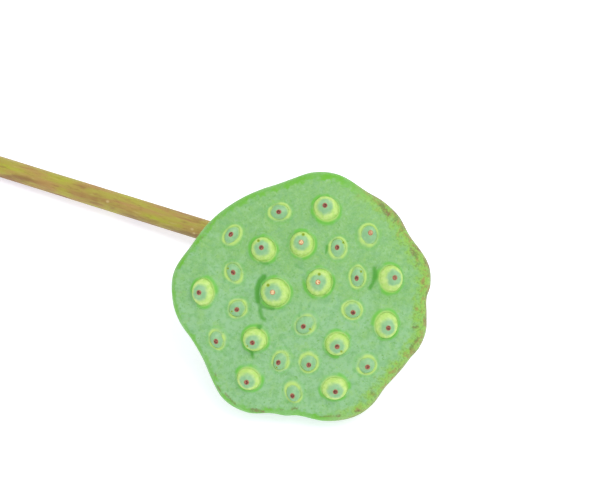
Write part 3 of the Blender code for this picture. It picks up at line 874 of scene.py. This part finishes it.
def make_stem(material):
    route, headings = stem_route()
    travelled = np.concatenate([[0.0], np.cumsum([np.linalg.norm(b - a) for a, b in zip(route, route[1:])])])
    # The side mask runs from -1 on the stem's -Y side to 1 on its +Y side, and places the painted shade along
    # its lower side
    skin = Skin(STEM_RADIUS, STEM_GRAIN_SHRINK, wart=0.0, cut=0.0, side=0.0, lime=0.0, brown=0.0)
    turn = turns(STEM_SEGMENTS)
    warts = stem_warts(travelled[-1])
    upper = None
    last = len(route) - 1
    for index, centre in enumerate(route):
        along = headings[index]
        lift, across = stem_frame(along)
        share = travelled[index] / travelled[-1]
        base = STEM_RADIUS + (CUT_END_RADIUS - STEM_RADIUS) * share
        waver = noise.noise(Vector((travelled[index] / 23.0, 4.0, 1.0)))
        ridges = sum(high * np.cos(count * turn + drift * waver) for count, high, drift in STEM_RIDGES)
        radius = base * (1.0 + STEM_WAVER * waver) - STEM_INSET + ridges
        from_end = travelled[-1] - travelled[index]
        near = warts[np.abs(warts[:, 0] - from_end) < 3.0]
        wart = stem_marks([(place, facing, 1.3 * size, size) for place, facing, size in near], from_end, turn)
        radius = np.minimum(radius + WART_HEIGHT * wart, base + STEM_LIMIT)
        slant = math.tan(math.radians(CUT_SLANT)) if index == last else 0.0
        plan = np.outer(radius * np.cos(turn), lift) + np.outer(radius * np.sin(turn), across)
        ring = centre + plan + np.outer(radius * np.cos(turn) * slant, along)
        upper = skin.grow(
            upper, ring, run=travelled[index], turn=turn, wart=wart, side=np.sin(turn),
            lime=stem_marks(STEM_LIMES, from_end, turn), brown=stem_marks(STEM_BROWNS, from_end, turn))
        if index == 0:
            skin.close(upper, centre, above=True)
    add_cut_face(skin, upper, route[-1], headings[-1], travelled[-1])
    skin.make("stem", material)


def add_cut_face(skin, edge, centre, along, length):
    """The slanted cut across the stem, with its blind air canals."""
    lift, across = stem_frame(along)
    slant = math.tan(math.radians(CUT_SLANT))

    def place(spots):
        up, aside = spots.T
        return centre + np.outer(up, lift) + np.outer(aside, across) + np.outer(up * slant, along)

    rim_circle = spokes(turns(STEM_SEGMENTS))
    plan = {index: spot * CUT_END_RADIUS for index, spot in zip(edge, rim_circle)}
    loops = [edge]
    for reach in (0.93, 0.84):
        spots = rim_circle * CUT_END_RADIUS * reach
        ring = skin.add(place(spots) + along * CUT_SWELL, run=length, cut=1.0)
        plan.update(zip(ring, spots))
        loops.append(ring)
    holes = []
    for count, distance, radius in CANAL_RINGS:
        for k in range(count):
            spots = spokes(turns(CANAL_SEGMENTS)) * radius + distance * spokes(2.0 * math.pi * k / count)
            mouth = skin.add(place(spots) + along * CUT_SWELL, run=length, cut=1.0)
            plan.update(zip(mouth, spots))
            loops.append(mouth)
            holes.append((mouth, spots))
    steps = np.arange(-9, 10)
    grid = np.stack(np.meshgrid(steps, steps), -1).reshape(-1, 2) * CUT_SPACING
    clear = np.hypot(*grid.T) < 0.78 * CUT_END_RADIUS
    for _, spots in holes:
        clear &= np.hypot(*(grid - spots.mean(0)).T) > np.ptp(spots[:, 0]) / 2.0 + 0.2
    filler = skin.add(place(grid[clear]) + along * CUT_SWELL, run=length, cut=1.0)
    plan.update(zip(filler, grid[clear]))
    before = len(skin.faces)
    stitch(skin, plan, loops, edge, [mouth for mouth, _ in holes])
    skin.faces[before:] = [face[::-1] for face in skin.faces[before:]]
    for mouth, spots in holes:
        for depth in (0.6, CANAL_DEPTH):
            mouth = skin.grow(mouth, place(spots) - along * depth, run=length, cut=1.0)
        skin.close(mouth, place(spots.mean(0)[None]) - along * CANAL_DEPTH, run=length, cut=1.0)


# ---- materials

def linear(colour):
    """A colour given as it looks on screen, 0 to 255, as linear light at the studio's brightness."""
    return [((c / 255.0 + 0.055) / 1.055) ** 2.4 / STUDIO_BRIGHTNESS for c in colour] + [1.0]


class Finish:
    """A Principled material, built up from painted masks and noise."""

    def __init__(self, name, roughness, coat=0.0, scatter=0.0, specular=0.5):
        self.material = bpy.data.materials.new(name)
        self.material.use_nodes = True
        self.tree = self.material.node_tree
        self.shader = self.tree.nodes["Principled BSDF"]
        for socket, value in (
                ("Roughness", roughness), ("Specular IOR Level", specular),
                ("Coat Weight", coat), ("Coat Roughness", COAT_ROUGHNESS),
                ("Subsurface Weight", scatter), ("Subsurface Radius", SCATTER_RADIUS),
                ("Subsurface Scale", SCATTER_SCALE)):
            self.shader.inputs[socket].default_value = value

    def link(self, source, socket):
        """Feed a socket from a node, or with a number, a list or a screen colour, which is a tuple."""
        if isinstance(source, bpy.types.NodeSocket):
            self.tree.links.new(source, socket)
        else:
            socket.default_value = linear(source) if isinstance(source, tuple) else source

    def node(self, kind, **inputs):
        node = self.tree.nodes.new("ShaderNode" + kind)
        for name, source in inputs.items():
            self.link(source, node.inputs[name])
        return node

    def attribute(self, name, output):
        node = self.node("Attribute")
        node.attribute_name = name
        return node.outputs[output]

    def mask(self, name):
        return self.attribute(name, "Fac")

    def place(self, name="pod", stretch=(1.0, 1.0, 1.0)):
        mapping = self.node("Mapping", Vector=self.attribute(name, "Vector"), Scale=list(stretch))
        return mapping.outputs["Vector"]

    def noise(self, size, detail=3.0, roughness=0.55, place=None, distortion=0.0):
        """Noise from 0 to 1 with blotches of about size millimetres."""
        return self.node(
            "TexNoise", Vector=place or self.place(), Scale=1.0 / size, Detail=detail, Roughness=roughness,
            Distortion=distortion).outputs["Fac"]

    def cells(self, size):
        return self.node("TexVoronoi", Vector=self.place(), Scale=1.0 / size).outputs["Distance"]

    def ramp(self, value, low, high, start=0.0, end=1.0):
        """Smoothly from start at low to end at high."""
        node = self.node("MapRange")
        node.interpolation_type = "SMOOTHSTEP"
        for socket, amount in zip(node.inputs, (value, low, high, start, end)):
            self.link(amount, socket)
        return node.outputs["Result"]

    def combine(self, operation, first, second):
        node = self.node("Math")
        node.operation = operation
        self.link(first, node.inputs[0])
        self.link(second, node.inputs[1])
        return node.outputs["Value"]

    def times(self, *values):
        result = values[0]
        for value in values[1:]:
            result = self.combine("MULTIPLY", result, value)
        return result

    def fray(self, value, reach, size, detail=4.0, roughness=0.55, spread=0.25):
        """A value pushed up or down by as much as reach, so that what follows it is ragged."""
        blotches = self.noise(size, detail, roughness)
        return self.combine("ADD", value, self.ramp(blotches, 0.5 - spread, 0.5 + spread, -reach, reach))

    def blend(self, share, first, second):
        """First colour where share is 0, second where it is 1."""
        node = self.node("Mix")
        node.data_type = "RGBA"
        for socket, amount in zip((node.inputs[0], node.inputs[6], node.inputs[7]), (share, first, second)):
            self.link(amount, socket)
        return node.outputs[2]

    def tint(self, colour, *layers):
        """A colour with tones laid over it, each as far as most where its value goes from low to high."""
        for tone, value, low, high, most in layers:
            colour = self.blend(self.ramp(value, low, high, 0.0, most), colour, tone)
        return colour

    def bump(self, height, depth, strength=1.0, under=None):
        """Relief of depth millimetres, on top of any bump under it."""
        node = self.node("Bump", Strength=strength, Distance=depth * MM, Height=height)
        if under is not None:
            self.link(under, node.inputs["Normal"])
        return node.outputs["Normal"]

    def done(self, colour, roughness=None, normal=None):
        for socket, source in (("Base Color", colour), ("Roughness", roughness), ("Normal", normal)):
            if source is not None:
                self.link(source, self.shader.inputs[socket])
        return self.material


def face_colour(skin, inward, streaks):
    """Mottled green, cooler towards -Y, with streaks that run in from the edge."""
    side = skin.node("SeparateXYZ", Vector=skin.place()).outputs["Y"]
    cool = skin.combine("ADD", skin.ramp(side, 48.0, -48.0, -0.25, 0.25), skin.noise(8.0))
    colour = skin.tint(FACE_GREEN, (FACE_BLUE_GREEN, cool, 0.36, 0.62, 1.0))
    for tone, size, detail, roughness, low, high, most in FACE_MOTTLES:
        colour = skin.tint(colour, (tone, skin.noise(size, detail, roughness), low, high, most))
    colour = skin.tint(colour, (FACE_FLECK, skin.noise(1.15, 2.0, 0.5, distortion=0.4), 0.62, 0.72, 0.8))
    near_edge = skin.times(skin.ramp(inward, 1.0, 12.0, 1.0, 0.0), skin.ramp(skin.noise(6.0), 0.4, 0.6))
    colour = skin.blend(skin.times(skin.ramp(streaks, 0.45, 0.7), near_edge, 0.4), colour, FACE_YELLOW)
    return skin.blend(skin.times(skin.ramp(streaks, 0.52, 0.38), near_edge, 0.3), colour, FACE_DEEP)


def rim_colour(skin, colour, inward):
    """Bright green along the rim's shaded side, yellow-green with brown patches along its sunned one."""
    wavering = skin.fray(inward, 1.2, 2.4)
    ragged = skin.fray(inward, 2.2, 3.0)
    frayed = skin.fray(inward, 1.6, 1.3, 5.0, 0.65)
    sunny = skin.mask("sunny")
    shaded = skin.times(
        skin.ramp(wavering, 0.5, -1.4), skin.ramp(sunny, 0.76, 0.62), skin.ramp(wavering, -10.0, -5.0),
        skin.ramp(skin.noise(7.0), 0.35, 0.65, 0.55, 1.0))
    colour = skin.blend(shaded, colour, RIM_GREEN)
    sunny = skin.ramp(sunny, 0.62, 0.78)
    colour = skin.blend(skin.times(skin.ramp(ragged, 2.8, -1.8), sunny, 0.9), colour, RIM_YELLOW)
    worn = skin.times(sunny, skin.ramp(ragged, -9.0, -5.0))
    patches = skin.ramp(skin.noise(2.6, 4.0, 0.6, distortion=0.5), 0.42, 0.62, 0.05, 0.85)
    colour = skin.blend(skin.times(skin.ramp(ragged, -0.4, -2.6), worn, patches), colour, RIM_BROWN)
    speckles = skin.ramp(skin.noise(0.9, 4.0, 0.6, distortion=0.5), 0.5, 0.62)
    colour = skin.blend(
        skin.times(skin.ramp(ragged, 3.0, -0.5), worn, speckles, 0.55), colour, BRUISE_OLIVE)
    edge_line = skin.times(
        skin.ramp(frayed, -2.8, -4.2), skin.ramp(frayed, -7.6, -5.2), sunny,
        skin.ramp(skin.noise(4.0), 0.36, 0.62, 0.1, 0.82))
    return skin.blend(edge_line, colour, RIM_EDGE)


def under_colour(skin, colour, inward):
    """Duller below the rim, with pale veins down to the neck and the brown stamen scars."""
    veins = skin.noise(1.1, place=skin.place("flow", (1.0, 1.0, 0.35)))
    under = skin.blend(skin.ramp(veins, 0.35, 0.65, 0.1, 0.8), UNDER_GREEN, UNDER_PALE)
    under = skin.tint(under, (UNDER_DEEP, skin.noise(4.0, 5.0, 0.6), 0.42, 0.62, 0.55))
    scars = (SCAR_BROWN, skin.mask("scar"), 0.2, 0.9, 0.7)
    return skin.tint(colour, (under, inward, -4.0, -16.0, 1.0), scars)


def marked_colour(skin, colour):
    """Bruises, the green round the proud seeds, the openings' pale lips, and painted shade along the folds
    with dark flecks.
    """
    bruise = skin.tint(BRUISE_OLIVE, (BRUISE_BROWN, skin.noise(1.4), 0.4, 0.62, 1.0))
    torn = skin.times(skin.mask("bruise"), skin.ramp(skin.noise(0.8, 4.0, 0.6), 0.35, 0.6, 0.45, 1.25))
    # The last tone is painted shade along the creases, and the dark flecks
    return skin.tint(
        colour, (bruise, torn, 0.15, 0.85, 0.85), (HALO_GREEN, skin.mask("halo"), 0.15, 1.0, 0.9),
        (LIP_YELLOW, skin.mask("lip"), 0.2, 0.9, 0.9), (CREASE_SHADE_AND_FLECK_GREEN, skin.mask("fold"), 0.1, 0.9, 0.95))


def receptacle_finish():
    skin = Finish("fresh_receptacle_skin", 0.5, coat=0.05, scatter=0.12, specular=0.35)
    inward = skin.mask("run")
    streaks = skin.noise(1.3, 4.0, place=skin.place("flow"))
    colour = face_colour(skin, inward, streaks)
    colour = rim_colour(skin, colour, inward)
    colour = under_colour(skin, colour, inward)
    colour = marked_colour(skin, colour)
    normal = skin.bump(skin.ramp(skin.cells(0.55), 0.05, 0.45), 0.05, 0.5)
    normal = skin.bump(skin.noise(1.4, 4.0), 0.14, 0.55, normal)
    normal = skin.bump(streaks, 0.08, 0.3, normal)
    return skin.done(colour, skin.ramp(skin.noise(2.0), 0.3, 0.7, 0.42, 0.62), normal)


def seed_finish():
    """A blue-green cap over a yellow flank, a brown or pale knob at the tip, and an olive pore."""
    skin = Finish("fresh_seed_skin", 0.4, coat=0.08, scatter=0.12, specular=0.4)
    edge = skin.fray(skin.mask("run"), 0.07, 2.4, 3.0, spread=0.3)
    blotches = skin.noise(1.6)
    cap = skin.tint(CAP_BLUE_GREEN, (CAP_PALE, blotches, 0.35, 0.7, 1.0))
    flank = skin.tint(FLANK_YELLOW, (FLANK_PALE, blotches, 0.35, 0.65, 1.0))
    proud = skin.tint(cap, (flank, edge, 0.44, 0.76, 1.0), (FLANK_DEEP, edge, 0.84, 1.0, 0.75))
    lip = skin.times(skin.ramp(edge, 0.74, 1.0), skin.ramp(skin.mask("patchy"), 0.0, 1.0, 0.3, 0.85))
    colour = skin.blend(skin.mask("proud"), skin.blend(lip, cap, LIP_YELLOW), proud)
    pore = skin.mask("pore")
    tip = skin.mask("tip")
    core = skin.ramp(skin.fray(tip, 0.3, 0.6, 2.0, spread=0.15), 0.62, 1.05)
    dark = skin.blend(core, TIP_BROWN, TIP_RED_BROWN)
    light = skin.blend(core, TIP_ORANGE, TIP_CREAM)
    knob = skin.blend(skin.mask("pale"), dark, light)
    colour = skin.tint(
        colour, (PORE_OLIVE, pore, 0.25, 0.7, 0.95), (PORE_DARK, pore, 0.75, 0.98, 0.8),
        (knob, tip, 0.05, 0.5, 1.0))
    normal = skin.bump(skin.noise(0.5), 0.04, 0.5)
    normal = skin.bump(skin.ramp(skin.cells(0.4), 0.0, 0.5), 0.03, 0.4, normal)
    return skin.done(colour, skin.ramp(skin.noise(1.1), 0.3, 0.7, 0.34, 0.52), normal)


def stem_finish():
    """Olive and brown along the grain, with its lime and brown marks, pale warts, a creamy cut and painted
    shade along its lower side.
    """
    skin = Finish("cut_stem_skin", 0.5, coat=0.05, scatter=0.05, specular=0.4)
    grain = skin.place("flow")
    wide = skin.noise(3.2, 4.0, 0.6, grain)
    narrow = skin.noise(0.9, 4.0, 0.6, grain)
    patch = skin.noise(7.0, 3.0, 0.5, skin.place("flow", (1.0, 1.0, 2.2)))
    # Painted shade along the stem's lower, -Y side, broken up by long patches
    shaded_low_side = skin.combine("ADD", skin.mask("side"), skin.ramp(patch, 0.3, 0.7, -0.5, 0.5))
    torn = skin.ramp(narrow, 0.35, 0.6, 0.55, 1.0)
    colour = skin.tint(STEM_OLIVE, (STEM_BROWN, wide, 0.36, 0.62, 1.0), (STEM_LIME, patch, 0.55, 0.7, 0.6))
    colour = skin.blend(skin.times(skin.mask("lime"), torn, 0.9), colour, STEM_LIME)
    colour = skin.blend(skin.times(skin.mask("brown"), torn, 0.65), colour, STEM_RED_BROWN)
    colour = skin.tint(
        colour, (STEM_LOW_SIDE_SHADE, shaded_low_side, -0.35, -0.95, 0.7), (STEM_RED_BROWN, narrow, 0.52, 0.7, 0.6),
        (STEM_PALE, narrow, 0.42, 0.3, 0.4), (STEM_RED_BROWN, skin.noise(0.55, 3.0, 0.6), 0.62, 0.72, 0.45),
        (UNDER_GREEN, skin.mask("run"), 16.0, 3.0, 0.85), (STEM_WART, skin.mask("wart"), 0.4, 0.95, 0.75))
    pith = skin.tint(CUT_CREAM, (CUT_GREEN, skin.noise(0.5), 0.4, 0.6, 1.0))
    colour = skin.blend(skin.mask("cut"), colour, pith)
    normal = skin.bump(narrow, 0.1, 0.6)
    normal = skin.bump(skin.noise(0.4), 0.04, 0.4, normal)
    return skin.done(colour, skin.ramp(wide, 0.3, 0.7, 0.42, 0.6), normal)


def floor_finish():
    skin = Finish("pale_floor", 0.9, specular=0.1)
    place = skin.node("TexCoord").outputs["Object"]
    skin.shader.inputs["Emission Color"].default_value = (*FLOOR_GLOW_COLOUR, 1.0)
    skin.shader.inputs["Emission Strength"].default_value = FLOOR_GLOW
    return skin.done(skin.blend(skin.noise(1.0, 2.0, place=place), [*FLOOR_WHITE, 1.0], [*FLOOR_COOL, 1.0]))


# ---- studio

def make_floor():
    mesh = bpy.data.meshes.new("floor")
    half = FLOOR_SIZE / 2.0
    corners = [(x, y, -FLOOR_DROP) for x, y in ((-half, -half), (half, -half), (half, half), (-half, half))]
    mesh.from_pydata(corners, [], [(0, 1, 2, 3)])
    mesh.materials.append(floor_finish())
    add_object("floor", mesh)


def picture_axes():
    """The picture's right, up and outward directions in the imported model's frame."""
    roll = math.radians(PICTURE_ROLL)
    right = TURN @ np.array([math.cos(roll), math.sin(roll), 0.0])
    out = TURN @ np.array([0.0, 0.0, 1.0])
    return right, np.cross(out, right), out


def make_camera():
    right, up, out = picture_axes()
    target = TURN @ np.array([*CAMERA_AIM, DOME_HEIGHT / 2.0]) + PLACE
    camera = add_object("camera", bpy.data.cameras.new("camera"))
    camera.data.lens = camera.data.sensor_width * CAMERA_DISTANCE / FRAME_WIDTH
    camera.matrix_world = Matrix.Translation((target + out * CAMERA_DISTANCE) * MM) @ Matrix(
        np.column_stack([right, up, out]).tolist()).to_4x4()
    bpy.context.scene.camera = camera


def make_key_light():
    """A large square soft light, aimed at the middle of the seed face."""
    toward = Vector(np.column_stack(picture_axes()) @ np.array(KEY_DIRECTION)).normalized()
    lamp = add_object("key_light", bpy.data.lights.new("key_light", "AREA"))
    lamp.data.size = KEY_SIZE
    lamp.data.energy = KEY_POWER
    lamp.data.color = KEY_COLOUR
    place = Matrix.Translation(Vector(PLACE) * MM + toward * KEY_DISTANCE)
    lamp.matrix_world = place @ toward.to_track_quat("Z", "Y").to_matrix().to_4x4()


def make_studio():
    make_floor()
    make_camera()
    world = bpy.data.worlds.new("studio")
    bpy.context.scene.world = world
    world.use_nodes = True
    light = world.node_tree.nodes["Background"]
    light.inputs["Color"].default_value = (*WORLD_COLOUR, 1.0)
    light.inputs["Strength"].default_value = WORLD_STRENGTH
    make_key_light()
    bpy.context.scene.view_settings.view_transform = "Standard"


def main():
    make_studio()
    make_receptacle(receptacle_finish())
    waxy = seed_finish()
    for seed in SEEDS:
        make_seed(seed, waxy)
    make_stem(stem_finish())


main()
